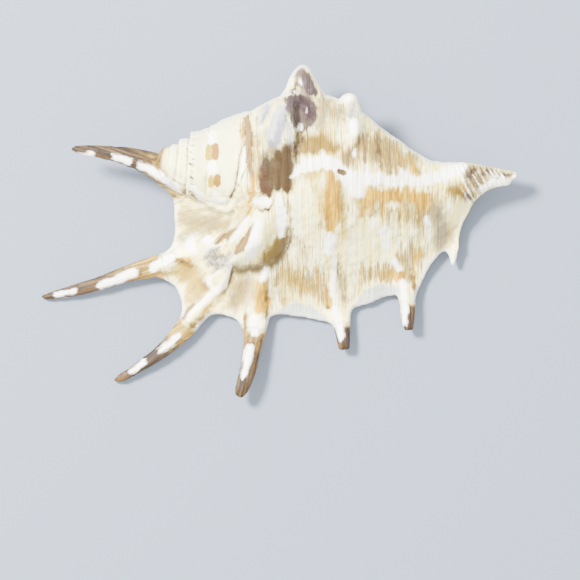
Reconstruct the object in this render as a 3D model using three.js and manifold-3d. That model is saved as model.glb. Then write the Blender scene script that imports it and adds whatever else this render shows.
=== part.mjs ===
// Spider conch shell, lying on its aperture: one grown solid, in millimetres.
// +X runs along the coiling axis from the apex to the siphonal canal, +Z is the back of
// the shell, and the flared outer lip with its digits spreads towards -Y. The origin is
// under the middle of the outline, on the surface that the shell lies on.

import * as THREE from 'three';
import { LoftGeometry } from 'three/addons/geometries/LoftGeometry.js';
import { mergeVertices } from 'three/addons/utils/BufferGeometryUtils.js';
import Module from 'manifold-3d';

const wasm = await Module();
wasm.setup();

// Driving dimensions.
const TAIL_X = -38;
const CANAL_TIP_X = 75;
const LIP_EDGE_THICKNESS = 2.4;
const BACK_FULLNESS = 0.9;
const COLUMELLA_ROUND = 1.6;
const COLUMELLA_FOOT = 8;
const RIM_RISE = 0.4;
const RIM_UNDER_ROOF = 0.6;
const SWELL_HALF_WIDTH = 6;
const LIP_TRIM = 1;

// Room left round the shell by the solids that trim it.
const CLEARANCE_BELOW = 10;
const ABOVE_SHELL = 60;
const BEYOND_SHELL = 150;

// Spire: a coil that widens by the same ratio with each whorl.
const COIL_APEX_X = -37.5;
const APEX_X = -38.8;
const SPIRE_END_X = -3;
const WHORL_RATIO = 1.67;
const FIRST_SUTURE_X = -12.2;
const SPIRE_AXIS_Y = 20.5;
const SPIRE_AXIS_Z = 17;
const SUTURE_DEPTH = 0.1;
const SUTURE_SLANT = 0.35;
const SHOULDER_SHARE = 0.2;
const WHORL_NARROWING = 0.5;
const STEP_MIDDLE = 0.35;

// Mesh fineness.
const BODY_STEPS = [[TAIL_X, 6], [-20, 25], [30, 15], [CANAL_TIP_X, 0]];
const BACK_POINTS = 10;
const FLARE_POINTS = 19;
const BELLY_POINTS = 7;
const HOLLOW_STATIONS = 30;
const COLUMELLA_POINTS = 6;
const ROOF_POINTS = 18;
const SPIRE_STATIONS = 28;
const SPIRE_CROWDING = 1.15;
const SPIRE_SIDES = 26;
const HORN_SIDES = 10;
const HORN_STEPS = 11;
const BAY_POINTS = 3;
const MERGE_DISTANCE = 1e-4;

// Shares of a stretch over which one shape gives way to the next.
const BACK_FADE = 0.5;
const BELLY_START = 0.2;
const COLUMELLA_LEAN = 0.2;

const { lerp, clamp, smoothstep } = THREE.MathUtils;

// A smooth value along X through a few [x, value] knots.
function along(knots) {
  return (x) => {
    const last = knots.length - 1;
    if (x <= knots[0][0]) return knots[0][1];
    if (x >= knots[last][0]) return knots[last][1];
    const i = knots.findIndex((knot) => knot[0] > x) - 1;
    const slope = (k) => {
      const a = knots[Math.max(k - 1, 0)];
      const b = knots[Math.min(k + 1, last)];
      return (b[1] - a[1]) / (b[0] - a[0]);
    };
    const [x0, v0] = knots[i];
    const [x1, v1] = knots[i + 1];
    const span = x1 - x0;
    const t = (x - x0) / span;
    const ends = v0 * (1 + 2 * t) * (1 - t) ** 2 + v1 * t * t * (3 - 2 * t);
    const slopes = slope(i) * t * (1 - t) ** 2 - slope(i + 1) * t * t * (1 - t);
    return ends + slopes * span;
  };
}

// Body whorl and canal, as curves along X: the far side of the whorl, the crest of the
// back and the belly that the shell lies on.
const sideY = along([
  [-38, 21], [-25, 26], [-14, 33], [-8, 38.2], [-1, 41.6], [6, 43.6], [15, 42.6], [24, 39],
  [32, 32.6], [40, 27], [48, 22.2], [58, 22], [66, 20.6], [75, 18.9],
]);
const sideZ = along([[-38, 14], [-14, 17], [6, 18], [30, 15], [48, 11], [60, 9.5], [75, 10]]);
const crestY = along([
  [-38, 15], [-25, 14], [-14, 17], [0, 19], [24, 18.5], [46, 16.5], [62, 17], [75, 16.6],
]);
const crestZ = along([
  [-38, 11], [-25, 14], [-16, 22], [-10, 33.5], [-3, 37.5], [5, 40], [14, 38.5], [24, 34.5],
  [34, 28.5], [44, 21.5], [54, 17], [64, 15], [75, 12.6],
]);
const bellyY = along([[-38, 19], [10, 19], [40, 16], [60, 17], [75, 16.8]]);
const bellyZ = along([
  [-38, 9], [-26, 7], [-16, 3.5], [-8, 0.4], [0, -0.5], [22, -0.5], [32, 0.6], [44, 3.2],
  [56, 5.4], [66, 6.8], [75, 7.6],
]);

// Lip: how far it reaches before it is trimmed, and the place and height of its foot.
const lipReachY = along([[-42, -45], [20, -45], [44, -28], [54, -18], [60, 2], [66, 8], [75, 11]]);
const lipFootY = along([[-38, -12], [-20, -26], [10, -28], [40, -20], [52, -8], [60, 6], [75, 14]]);
const lipFootZ = along([
  [-38, 5], [-28, 3.8], [0, 3], [30, 2.9], [46, 3.6], [56, 5], [66, 8], [75, 9],
]);

// Aperture: the columella on one side, the roof deep inside, and the shell's thickness
// over the roof.
const columellaY = along([
  [-38, 10], [-25, 7], [-10, 5.5], [12, 5.5], [35, 7.5], [50, 10], [62, 15], [75, 16],
]);
const roofY = along([
  [-38, 8], [-25, 6], [-10, 12], [10, 15], [30, 13], [50, 10.5], [62, 14.6], [75, 15.6],
]);
const roofDrop = along([[-38, 3], [-22, 4], [-8, 6], [10, 6.5], [40, 5], [60, 5], [75, 3.4]]);

// The outer lip swells inwards where it turns up into the aperture.
const swellY = along([[-38, 2], [-20, -4], [0, -8], [25, -8], [45, -1], [60, 9], [75, 14]]);
const swell = along([[-38, 0], [-24, 1], [-10, 4], [28, 4.4], [46, 2], [56, 0]]);

// Raised lines on the back, each through [x, y, height, half width] points: the ribs that
// carry the digits up the back, and the long humps of the shoulder.
const raisedLines = [
  [[-36, -10, 2.6, 4], [-29, -8, 1.5, 3.6], [-20, -5, 0, 3]],
  [
    [-27, -27, 2.4, 3.6], [-21, -18.5, 2, 2.6], [-16.4, -12, 2.2, 2.4], [-14, -7.5, 1.4, 2.6],
    [-10, -1, 0, 3],
  ],
  [[-7, -28, 2.6, 3.8], [-5.6, -18, 1.5, 3], [-3.4, -9, 0.9, 3], [-2, -1, 0, 3]],
  [[19.4, -27, 2, 3.4], [17.8, -16, 1, 3], [15.8, -5, 0.7, 3], [14.6, 5, 0, 3]],
  [[40.3, -19, 2, 3], [38.8, -10, 0.9, 2.8], [37.2, -2, 0, 2.6]],
  [
    [4.4, 42, 2, 3], [3.6, 38.5, 5, 3.4], [2.6, 33, 5.6, 4.4], [1.2, 25.5, 3.4, 4.6],
    [-0.6, 15, 0, 4],
  ],
  [
    [-1.6, 14, 0, 5], [-3.8, 6.5, 2.2, 5.6], [-6.6, -1.5, 4.6, 6], [-10.6, -7, 4.2, 4.6],
    [-14.6, -10.6, 1.4, 3.4],
  ],
  [[22.4, 28, 0, 3], [23.2, 32, 2.4, 3.2], [23.5, 35, 2.2, 3]],
];

// Height that one raised line adds at a place on the back.
function raised(line, x, y) {
  let best = 0;
  for (let i = 1; i < line.length; i++) {
    const [x0, y0, h0, w0] = line[i - 1];
    const [x1, y1, h1, w1] = line[i];
    const dx = x1 - x0;
    const dy = y1 - y0;
    const t = clamp(((x - x0) * dx + (y - y0) * dy) / (dx * dx + dy * dy), 0, 1);
    const away = Math.hypot(x - x0 - t * dx, y - y0 - t * dy) / lerp(w0, w1, t);
    best = Math.max(best, lerp(h0, h1, t) * Math.exp(-away * away));
  }
  return best;
}

function relief(x, y) {
  return raisedLines.reduce((sum, line) => sum + raised(line, x, y), 0);
}

// Height of the smooth back on the lip's side of the crest.
function backZ(x, y) {
  const up = clamp((y - lipFootY(x)) / (crestY(x) - lipFootY(x)), 0, 1);
  const rise = (1 - Math.cos(Math.PI * up ** BACK_FULLNESS)) / 2;
  return lipFootZ(x) + (crestZ(x) - lipFootZ(x)) * rise;
}

// One closed section across the solid shell, from the far side over the back to the lip,
// and under it to the belly.
function bodySection(x) {
  const points = [];
  for (let i = 0; i < BACK_POINTS; i++) {
    const turn = (i / BACK_POINTS) * (Math.PI / 2);
    const y = crestY(x) + (sideY(x) - crestY(x)) * Math.cos(turn);
    const z = sideZ(x) + (crestZ(x) - sideZ(x)) * Math.sin(turn);
    const out = relief(x, y) * smoothstep(turn, 0, BACK_FADE);
    points.push(new THREE.Vector3(x, y + out * Math.cos(turn), z + out * Math.sin(turn)));
  }
  for (let i = 0; i <= FLARE_POINTS; i++) {
    const y = lerp(crestY(x), lipReachY(x), i / FLARE_POINTS);
    points.push(new THREE.Vector3(x, y, backZ(x, y) + relief(x, y)));
  }
  const foot = Math.max(columellaY(x) - COLUMELLA_FOOT, lipReachY(x) + LIP_TRIM);
  points.push(new THREE.Vector3(x, lipReachY(x), -LIP_TRIM));
  points.push(new THREE.Vector3(x, foot, -LIP_TRIM));
  points.push(new THREE.Vector3(x, lerp(columellaY(x), bellyY(x), BELLY_START), bellyZ(x)));
  for (let i = 0; i < BELLY_POINTS; i++) {
    const turn = (i / BELLY_POINTS) * (Math.PI / 2);
    const y = bellyY(x) + (sideY(x) - bellyY(x)) * Math.sin(turn);
    points.push(new THREE.Vector3(x, y, sideZ(x) - (sideZ(x) - bellyZ(x)) * Math.cos(turn)));
  }
  return points;
}

function bodyLoft() {
  const sections = [];
  for (let i = 1; i < BODY_STEPS.length; i++) {
    const [from, steps] = BODY_STEPS[i - 1];
    const [to] = BODY_STEPS[i];
    for (let k = 0; k < steps; k++) sections.push(bodySection(lerp(from, to, k / steps)));
  }
  sections.push(bodySection(CANAL_TIP_X));
  return new LoftGeometry(sections, { capStart: true, capEnd: true });
}

// The hollow under the shell: the underside of the lip, the way up into the aperture to
// its roof, and the columella that rounds over onto the belly.
function hollowSection(x) {
  const floor = -CLEARANCE_BELOW / 2;
  const points = [new THREE.Vector3(x, columellaY(x) + COLUMELLA_ROUND, floor)];
  const roofZ = backZ(x, roofY(x)) - roofDrop(x);
  const rim = Math.min(bellyZ(x) + RIM_RISE, roofZ - RIM_UNDER_ROOF);
  for (let i = 0; i <= COLUMELLA_POINTS; i++) {
    const t = i / COLUMELLA_POINTS;
    const lean = COLUMELLA_ROUND * (1 - smoothstep(t, 0, COLUMELLA_LEAN));
    const y = lerp(columellaY(x), roofY(x), 1 - Math.cos(t * Math.PI / 2));
    points.push(new THREE.Vector3(x, y + lean, lerp(rim, roofZ, t)));
  }
  for (let i = 1; i <= ROOF_POINTS; i++) {
    const y = lerp(roofY(x), lipReachY(x) - LIP_TRIM, i / ROOF_POINTS);
    const deep = smoothstep(y, lipFootY(x), roofY(x));
    const wall = lerp(LIP_EDGE_THICKNESS, Math.max(roofDrop(x), LIP_EDGE_THICKNESS), deep);
    const away = (y - swellY(x)) / SWELL_HALF_WIDTH;
    points.push(new THREE.Vector3(x, y, backZ(x, y) - wall - swell(x) * Math.exp(-away * away)));
  }
  points.push(new THREE.Vector3(x, lipReachY(x) - LIP_TRIM, floor));
  return points;
}

function hollowLoft() {
  const sections = [];
  for (let i = 0; i <= HOLLOW_STATIONS; i++) {
    const t = i / HOLLOW_STATIONS;
    sections.push(hollowSection(lerp(TAIL_X - LIP_TRIM, CANAL_TIP_X + LIP_TRIM, t)));
  }
  return new LoftGeometry(sections, { capStart: true, capEnd: true });
}

// The plan of the lip and canal: concave bays between the roots of the digits, then the
// broken hook and the notch before the canal. The far side is left clear of the whorl.
const bays = [
  [[-37.5, 15], [-33.5, 11], [-32.7, 5], [-33.2, -2.6], [-35, -5.7], [-39, -7.5]],
  [[-39, -14], [-35.5, -15.4], [-32.4, -17.8], [-30.5, -23], [-31.4, -27.2], [-34.5, -33]],
  [
    [-30.5, -35], [-26.1, -29.8], [-23, -27.2], [-19.8, -25.9], [-15.6, -26.7], [-12.5, -28.8],
    [-11, -34],
  ],
  [[-5.2, -34], [-4.1, -31], [-2.3, -26.4], [5.3, -26.6], [14.7, -28.3], [17.6, -30]],
  [[22, -29], [22.9, -24.8], [28.4, -22.5], [36.7, -19.7], [38.2, -22]],
  [
    [42.6, -22], [44, -17.8], [45.7, -14.6], [47.7, -10.5], [51.4, -6.5], [53.2, -7],
    [54.3, -11],
  ],
  [
    [55, -11], [56.3, -7.3], [56.7, -2.1], [57.7, 2.1], [60.3, 7.4], [62.2, 10.3], [67.1, 13.7],
    [72.4, 14.6],
  ],
];

const canalEnd = [[73.2, 16.4], [80, 18.4], [80, ABOVE_SHELL], [-60, ABOVE_SHELL]];

function lipPlan() {
  const plan = new THREE.Shape();
  plan.moveTo(-60, 15);
  for (const bay of bays) {
    plan.lineTo(...bay[0]);
    plan.splineThru(bay.slice(1).map(([x, y]) => new THREE.Vector2(x, y)));
  }
  for (const corner of canalEnd) plan.lineTo(...corner);
  plan.closePath();
  const slab = new THREE.ExtrudeGeometry(plan, {
    depth: ABOVE_SHELL + CLEARANCE_BELOW,
    bevelEnabled: false,
    curveSegments: BAY_POINTS,
  });
  return slab.translate(0, 0, -CLEARANCE_BELOW);
}

// The spire's radius at a distance along the axis, and how each whorl steps out at its
// suture, swells at the shoulder and narrows to the next suture.
const spireRadius = along([
  [APEX_X, 1.6], [-37.2, 4.9], [-32, 6.9], [-28.4, 9], [-22.3, 11.8], [-12.2, 16],
  [-8.5, 16.8], [SPIRE_END_X, 11],
]);

function whorlStep(x, turn) {
  const length = (x - COIL_APEX_X) / (FIRST_SUTURE_X - COIL_APEX_X);
  const coil = Math.log(length) / Math.log(WHORL_RATIO) - turn * SUTURE_SLANT;
  const across = THREE.MathUtils.euclideanModulo(coil, 1);
  const rise = smoothstep(across, 0, SHOULDER_SHARE);
  return rise * (1 - WHORL_NARROWING * across) - STEP_MIDDLE;
}

function spireLoft() {
  const sections = [];
  for (let i = 0; i <= SPIRE_STATIONS; i++) {
    const t = i / SPIRE_STATIONS;
    const x = lerp(APEX_X, SPIRE_END_X, t ** SPIRE_CROWDING);
    const section = [];
    for (let j = 0; j < SPIRE_SIDES; j++) {
      const turn = j / SPIRE_SIDES;
      const angle = turn * Math.PI * 2;
      const step = x > COIL_APEX_X + 1 ? whorlStep(x, Math.cos(angle) / 2) : 0;
      const radius = spireRadius(x) * (1 + SUTURE_DEPTH * step);
      const y = SPIRE_AXIS_Y + radius * Math.cos(angle);
      section.push(new THREE.Vector3(x, y, SPIRE_AXIS_Z + radius * Math.sin(angle)));
    }
    sections.push(section);
  }
  return new LoftGeometry(sections, { capStart: true, capEnd: true });
}

// A tapering round horn through [x, y, z, half width, half height] stations.
function horn(stations) {
  const places = stations.map(([x, y, z]) => new THREE.Vector3(x, y, z));
  const halves = stations.map(([, , , width, height]) => new THREE.Vector3(width, height, 0));
  const path = new THREE.CatmullRomCurve3(places);
  const sizes = new THREE.CatmullRomCurve3(halves);
  const up = new THREE.Vector3(0, 0, 1);
  const sections = [];
  for (let i = 0; i <= HORN_STEPS; i++) {
    const t = i / HORN_STEPS;
    const centre = path.getPoint(t);
    const { x: width, y: height } = sizes.getPoint(t);
    const ahead = path.getTangent(t);
    const across = new THREE.Vector3().crossVectors(ahead, up).normalize();
    const over = new THREE.Vector3().crossVectors(across, ahead);
    const section = [];
    for (let j = 0; j < HORN_SIDES; j++) {
      const angle = (-j / HORN_SIDES) * Math.PI * 2;
      section.push(centre.clone()
        .addScaledVector(across, width * Math.cos(angle))
        .addScaledVector(over, height * Math.sin(angle)));
    }
    sections.push(section);
  }
  return new LoftGeometry(sections, { capStart: true, capEnd: true });
}

// Six digits, from the one beside the spire round to the one nearest the canal. The last
// two are broken off short. Each starts inside the thickness of the lip.
const digits = [
  [
    [-24, 8.5, 0, 3, 1], [-29.6, 13.4, 12, 4, 3.4], [-36, 19.4, 14, 4.7, 4],
    [-43, 22.3, 15.4, 3.4, 3.3], [-50, 24.1, 16.2, 2.8, 2.8], [-57.6, 25.2, 16.2, 2, 2],
    [-62.5, 25.8, 15.6, 1.5, 1.4], [-65.1, 25.9, 15.2, 0.7, 0.7],
  ],
  [
    [-29, -8.4, 0, 3.6, 1], [-34, -9.8, 3.6, 4, 2.4], [-39, -10.8, 3.6, 3.7, 2.8],
    [-47.1, -12.9, 3.4, 2.7, 2.7], [-57.6, -16.5, 2.8, 2.25, 2.3], [-68, -19.2, 1.9, 1.8, 1.9],
    [-73, -20.2, 1.4, 1.2, 1.3], [-75.2, -20.5, 1.1, 0.6, 0.7],
  ],
  [
    [-24, -23, 0, 3.4, 1], [-27.5, -27.6, 3.2, 3.6, 2.4], [-31.3, -32.2, 3.2, 3, 2.7],
    [-36.8, -37.4, 2.9, 2.4, 2.5], [-42.2, -41.3, 2.4, 1.95, 2.2], [-47.6, -44.7, 1.8, 1.6, 1.8],
    [-50.6, -46.3, 1.4, 1.2, 1.3], [-52.2, -47, 1.2, 0.6, 0.7],
  ],
  [
    [-6.6, -23, 0, 3.6, 1], [-7.1, -27.4, 3.6, 4, 2.6], [-7.8, -31.8, 4.2, 3.6, 3],
    [-8.6, -37, 5, 2.95, 3], [-9.7, -43, 5.8, 2.8, 2.8], [-11.3, -48.2, 6.4, 2.4, 2.3],
    [-12.2, -50.7, 6.5, 1.9, 1.7], [-12.6, -51.9, 6.5, 1.1, 1],
  ],
  [
    [19, -22, 0, 3.4, 1], [19.3, -25, 3, 3.6, 2.4], [19.7, -28.5, 3.1, 3, 2.7],
    [20.2, -33, 3.5, 2.3, 2.4], [20.6, -37.1, 4, 1.7, 1.8],
  ],
  [
    [40.1, -15, 0, 2.8, 1], [40.2, -18, 3.8, 3.2, 2.4], [40.4, -22.5, 4, 2.7, 2.6],
    [40.6, -27, 4.5, 2.3, 2.2], [40.9, -30.9, 5, 1.5, 1.5],
  ],
];

for (const [root] of digits) root[2] = backZ(root[0], root[1]) - LIP_EDGE_THICKNESS / 2;

// The two knobs that stand out from the far side of the shoulder.
const sideKnobs = [
  [
    [8, 34, 20, 11, 8.5], [7.6, 41, 20.5, 7.8, 7.6], [7.4, 46.4, 21, 4.9, 5.4],
    [7.4, 50, 21.4, 3.1, 3.6], [7.4, 52, 21.6, 1.1, 1.4],
  ],
  [[21, 34, 20, 6, 6], [21.6, 39, 21.5, 3.8, 4.4], [22, 42, 22.2, 2.6, 3], [22, 43.1, 22.4, 1.2, 1.4]],
];

// three.js geometry to a closed solid and back.
function solid(geometry) {
  const bare = new THREE.BufferGeometry().copy(geometry);
  bare.deleteAttribute('normal');
  bare.deleteAttribute('uv');
  const merged = mergeVertices(bare, MERGE_DISTANCE);
  const vertProperties = new Float32Array(merged.attributes.position.array);
  const triVerts = new Uint32Array(merged.index.array);
  return new wasm.Manifold(new wasm.Mesh({ numProp: 3, vertProperties, triVerts }));
}

function geometryOf(manifold) {
  const mesh = manifold.getMesh();
  const geometry = new THREE.BufferGeometry();
  geometry.setAttribute('position', new THREE.BufferAttribute(mesh.vertProperties, 3));
  geometry.setIndex(new THREE.BufferAttribute(mesh.triVerts, 1));
  geometry.computeVertexNormals();
  return geometry;
}

function shell() {
  let grown = solid(bodyLoft()).subtract(solid(hollowLoft())).intersect(solid(lipPlan()));
  grown = grown.add(solid(spireLoft()));
  for (const stations of [...digits, ...sideKnobs]) grown = grown.add(solid(horn(stations)));
  const below = new THREE.BoxGeometry(2 * BEYOND_SHELL, 2 * BEYOND_SHELL, CLEARANCE_BELOW);
  below.translate(0, 0, -CLEARANCE_BELOW / 2);
  const geometry = geometryOf(grown.subtract(solid(below)));
  geometry.computeBoundingBox();
  const middle = geometry.boundingBox.getCenter(new THREE.Vector3());
  return geometry.translate(-middle.x, -middle.y, 0);
}

const material = new THREE.MeshStandardMaterial({ color: 0xe8dcc0, roughness: 0.42, metalness: 0 });
const mesh = new THREE.Mesh(shell(), material);
mesh.name = 'shell';

const conch = new THREE.Group();
conch.add(mesh);
export default conch;
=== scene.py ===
import bpy
import numpy as np
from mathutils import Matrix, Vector, kdtree, noise as fractal
from mathutils.bvhtree import BVHTree


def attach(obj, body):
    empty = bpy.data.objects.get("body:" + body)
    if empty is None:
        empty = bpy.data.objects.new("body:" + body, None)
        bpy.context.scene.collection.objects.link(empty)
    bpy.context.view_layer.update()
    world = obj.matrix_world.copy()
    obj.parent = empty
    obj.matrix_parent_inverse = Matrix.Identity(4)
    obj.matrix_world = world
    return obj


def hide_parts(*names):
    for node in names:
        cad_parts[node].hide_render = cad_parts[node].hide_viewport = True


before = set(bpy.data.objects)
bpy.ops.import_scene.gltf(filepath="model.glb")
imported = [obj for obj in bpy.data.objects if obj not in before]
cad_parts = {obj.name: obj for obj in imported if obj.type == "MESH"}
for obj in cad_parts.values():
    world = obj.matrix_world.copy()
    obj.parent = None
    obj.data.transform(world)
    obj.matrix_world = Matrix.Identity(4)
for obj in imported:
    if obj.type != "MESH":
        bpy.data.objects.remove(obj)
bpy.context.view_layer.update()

# ---------------------------------------------------------------------------------------
# Form of the shell. A spider conch is one growth of hard limy layers: coiled whorls, the
# flared lip with its six digits, and the canal. A merged copy of the grown solid is
# made into an even skin, finer along the coiling axis, where thread follows on thread.
# ---------------------------------------------------------------------------------------
MM = 0.001
SKIN_CELL = 0.73 * MM
FINER_ALONG = 2.0
SAME_PLACE = 1e-6

bpy.ops.object.select_all(action="DESELECT")
shell = bpy.data.objects.new("spider_conch_shell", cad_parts["shell"].data.copy())
bpy.context.scene.collection.objects.link(shell)
shell.data.materials.clear()
shell.select_set(True)
bpy.context.view_layer.objects.active = shell
bpy.ops.object.mode_set(mode="EDIT")
bpy.ops.mesh.select_all(action="SELECT")
bpy.ops.mesh.remove_doubles(threshold=SAME_PLACE)
bpy.ops.transform.resize(value=(FINER_ALONG, 1, 1), center_override=(0, 0, 0))
bpy.ops.object.mode_set(mode="OBJECT")
skin = shell.modifiers.new("even_skin", "REMESH")
skin.mode = "VOXEL"
skin.voxel_size = SKIN_CELL
bpy.ops.object.modifier_apply(modifier=skin.name)


def places():
    """The skin's points in millimetres."""
    found = np.empty(len(shell.data.vertices) * 3)
    shell.data.vertices.foreach_get("co", found)
    return found.reshape(-1, 3) / MM


def outwards():
    """The way each point of the skin faces."""
    found = np.empty(len(shell.data.vertices) * 3)
    shell.data.vertex_normals.foreach_get("vector", found)
    return found.reshape(-1, 3)


def rise(value, low, high):
    """0 below low and 1 above high, with an eased slope between."""
    t = np.clip((value - low) / (high - low), 0, 1)
    return t * t * (3 - 2 * t)


def along_line(line, at):
    """How far each place is from a line, how far along it, and the line's values there."""
    size = at.shape[1]
    points = np.array(line, float)
    best = np.full(len(at), np.inf)
    values = np.zeros((len(at), points.shape[1] - size))
    run = np.zeros(len(at))
    passed = 0.0
    for p, q in zip(points, points[1:]):
        step = q[:size] - p[:size]
        length = np.linalg.norm(step)
        t = np.clip((at - p[:size]) @ step / length**2, 0, 1)
        away = np.linalg.norm(at - p[:size] - t[:, None] * step, axis=1)
        nearer = away < best
        best[nearer] = away[nearer]
        values[nearer] = (p[size:] + t[:, None] * (q[size:] - p[size:]))[nearer]
        run[nearer] = passed + t[nearer] * length
        passed += length
    return best, run, values


# The digits' middle lines from root to tip, as points (x, y, z, half width).
digit_lines = [
    [(-24, 8, 9, 4), (-29.6, 13.4, 12, 4.4), (-36, 19.4, 14, 4.4), (-43, 22.3, 15.4, 3.4),
     (-50, 24.1, 16.2, 2.8), (-57.6, 25.2, 16.2, 2), (-65.1, 25.9, 15.2, 0.7)],
    [(-29, -8.4, 5, 4), (-39, -10.8, 3.6, 3.7), (-47.1, -12.9, 3.4, 2.7),
     (-57.6, -16.5, 2.8, 2.3), (-68, -19.2, 1.9, 1.9), (-75.2, -20.5, 1.1, 0.6)],
    [(-24, -23, 5, 4), (-31.3, -32.2, 3.2, 3), (-36.8, -37.4, 2.9, 2.4),
     (-42.2, -41.3, 2.4, 2), (-47.6, -44.7, 1.8, 1.6), (-52.2, -47, 1.2, 0.6)],
    [(-6.6, -23, 6, 4), (-7.8, -31.8, 4.2, 3.6), (-8.6, -37, 5, 3),
     (-9.7, -43, 5.8, 2.8), (-11.3, -48.2, 6.4, 2.4), (-12.6, -51.9, 6.5, 1)],
    [(19, -22, 5, 3.4), (19.7, -28.5, 3.1, 3), (20.2, -33, 3.5, 2.3), (20.6, -37.1, 4, 1.7)],
    [(40.1, -15, 5, 3), (40.4, -22.5, 4, 2.7), (40.6, -27, 4.5, 2.3), (40.9, -30.9, 5, 1.5)],
]


def out_on_digits(at):
    """0 on the body of the shell, 1 where a digit stands free."""
    share = np.zeros(len(at))
    for line in digit_lines:
        away, run, values = along_line(line, at)
        width = values[:, 0]
        on_digit = rise(-away, -2.2 * width - 1, -1.3 * width)
        past_root = rise(run, 6, 12)
        share = np.maximum(share, on_digit * past_root)
    return share


def weighted_group(name, weight):
    """Gives the skin a vertex group whose weights are the given shares, in tenths."""
    group = shell.vertex_groups.new(name=name)
    for level in range(1, 11):
        group.add(np.flatnonzero(np.round(weight * 10) == level).tolist(), level / 10, "REPLACE")


# The broad body is smoothed well, the slender digits only a little, so that they keep their size.
free = out_on_digits(places() / (FINER_ALONG, 1, 1))
for name, weight, rounds in (("broad", 1 - free, 14), ("slender", free, 3)):
    weighted_group(name, weight)
    smooth = shell.modifiers.new(name, "SMOOTH")
    smooth.factor = 0.5
    smooth.iterations = rounds
    smooth.vertex_group = name
    bpy.ops.object.modifier_apply(modifier=smooth.name)
bpy.ops.object.mode_set(mode="EDIT")
bpy.ops.mesh.select_all(action="SELECT")
bpy.ops.transform.resize(value=(1 / FINER_ALONG, 1, 1), center_override=(0, 0, 0))
bpy.ops.object.mode_set(mode="OBJECT")
bpy.ops.object.shade_smooth()

# ---------------------------------------------------------------------------------------
# Relief of the back. The shell thickens in ribs that run out into the digits, in knobs
# on the shoulder, and in threads and cords round the whorls. All of it is pushed up or
# pressed in along the surface, on the back and round the spire, and not underneath.
# ---------------------------------------------------------------------------------------
at = places()
normal = outwards()
tree = BVHTree.FromPolygons(
    [tuple(p) for p in at], [tuple(face.vertices) for face in shell.data.polygons]
)
UP = Vector((0, 0, 1))


def open_to_sky(p, n):
    """Whether nothing stands over a point, looked at from just off the skin."""
    start = Vector(p + 0.05 * n) + 0.1 * UP
    return n[2] > 0 and tree.ray_cast(start, UP)[0] is None


open_above = np.array([float(open_to_sky(p, n)) for p, n in zip(at, normal)])
edge_ends = np.empty(len(shell.data.edges) * 2, int)
shell.data.edges.foreach_get("vertices", edge_ends)
edge_ends = edge_ends.reshape(-1, 2)
neighbours = np.bincount(edge_ends.ravel(), minlength=len(at))


def evened(values, rounds):
    """Values per place, each drawn towards its neighbours' mean."""
    for _ in range(rounds):
        total = np.bincount(edge_ends[:, 0], values[edge_ends[:, 1]], len(at))
        total += np.bincount(edge_ends[:, 1], values[edge_ends[:, 0]], len(at))
        values = 0.5 * values + 0.5 * total / neighbours
    return values


# The rim, seen from above, is where the open side of the skin gives way to the hidden one.
crossing = open_above[edge_ends[:, 0]] != open_above[edge_ends[:, 1]]
border = np.unique(edge_ends[crossing])
border_tree = kdtree.KDTree(len(border))
for i, p in enumerate(at[border]):
    border_tree.insert((p[0], p[1], 0), i)
border_tree.balance()
to_rim = np.array([border_tree.find((p[0], p[1], 0))[2] for p in at])
on_spire = rise(-at[:, 0], 10, 14) * rise(at[:, 1], 9, 13)
far_side = rise(at[:, 1], 30, 36) * rise(at[:, 2], 6, 12)
outer = np.clip(evened(open_above, 3) + np.maximum(on_spire, far_side), 0, 1)
under = 1 - outer
free = out_on_digits(at)

# Threads run straight round the body whorl and fan out over the lip towards the digits.
FAN_X, FAN_Y, FAN_SCALE = -4.0, 12.0, 15.0
turn = np.arctan2(at[:, 1] - FAN_Y, at[:, 0] - FAN_X) + np.pi / 2
fanned = FAN_X + FAN_SCALE * np.where(turn > np.pi / 2, turn - 2 * np.pi, turn)
in_fan = (at[:, 0] < FAN_X) & (at[:, 1] < FAN_Y) & (on_spire < 0.5)
thread = np.where(in_fan, fanned, at[:, 0])
grain = np.column_stack([thread, at[:, 1], at[:, 2]])
from_fan = at[:, :2] - (FAN_X, FAN_Y)
from_fan /= np.linalg.norm(from_fan, axis=1)[:, None] + 1e-9
lengthwise = np.where(in_fan[:, None], from_fan, (0.0, 1.0))
tipward = np.zeros(len(at))
for line in digit_lines:
    away, run, values = along_line(line, at)
    here = (away < 1.5 * values[:, 0] + 1) & (run > 7)
    ahead = np.subtract(line[-1][:2], line[1][:2])
    ahead /= np.linalg.norm(ahead)
    side = at[:, :2] @ (-ahead[1], ahead[0])
    grain[here] = np.column_stack([side, run, at[:, 2]])[here]
    lengthwise[here] = ahead
    tipward[here] = (run / run.max())[here]


def put_at(at):
    """Moves the skin's points to the given places in millimetres."""
    shell.data.vertices.foreach_set("co", (at * MM).ravel())
    shell.data.update()


def bell(distance, width):
    """1 in the middle, fading to nothing a few widths away."""
    return np.exp(-((distance / width) ** 2))


def cloudy(where, size, seed=0.0):
    """Smooth noise from -1 to 1, its lumps as long each way as the given sizes in mm."""
    return np.array([fractal.noise(p) for p in (where / size + seed).tolist()])


def raised(lines, places_xy):
    """Height that lines of (x, y, height, half width) add at each place."""
    height = np.zeros(len(places_xy))
    for line in lines:
        away, _, values = along_line(line, places_xy)
        height += values[:, 0] * bell(away, values[:, 1])
    return height


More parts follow.
